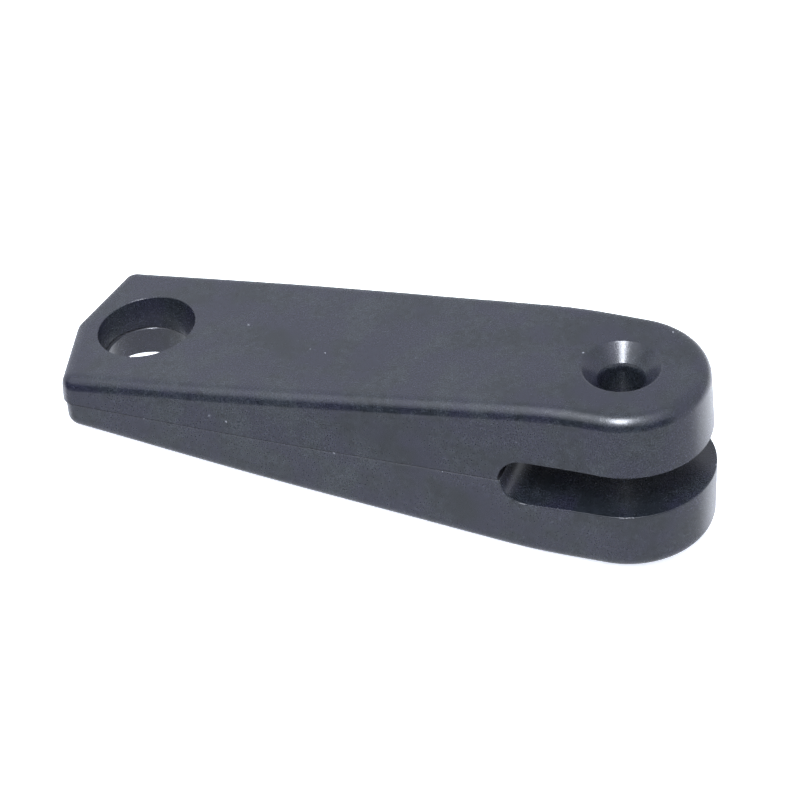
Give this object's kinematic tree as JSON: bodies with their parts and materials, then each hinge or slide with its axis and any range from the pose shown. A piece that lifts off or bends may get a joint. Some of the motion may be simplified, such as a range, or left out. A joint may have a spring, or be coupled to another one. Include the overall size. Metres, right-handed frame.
{
  "type": "cleat horn",
  "caption": "Moulded nylon cleat horn: a tapered link with a cord eye at its thin end and a slotted, countersunk pivot fork at its thick end.",
  "frame": {"origin": "centre of the pivot hole, on the mid-plane of the fork slot, where the two half mouldings meet", "axes": "+X along the link from the cord eye to the fork's nose, +Y across its width, +Z along the pivot hole and up"},
  "size_m": [0.0996, 0.0286, 0.0278],
  "materials": {
    "nylon_upper": "satin moulded blue-black nylon",
    "nylon_lower": "satin moulded blue-black nylon"
  },
  "bodies": {
    "root": {"upper_half": "nylon_upper", "lower_half": "nylon_lower"}
  },
  "joints": []
}
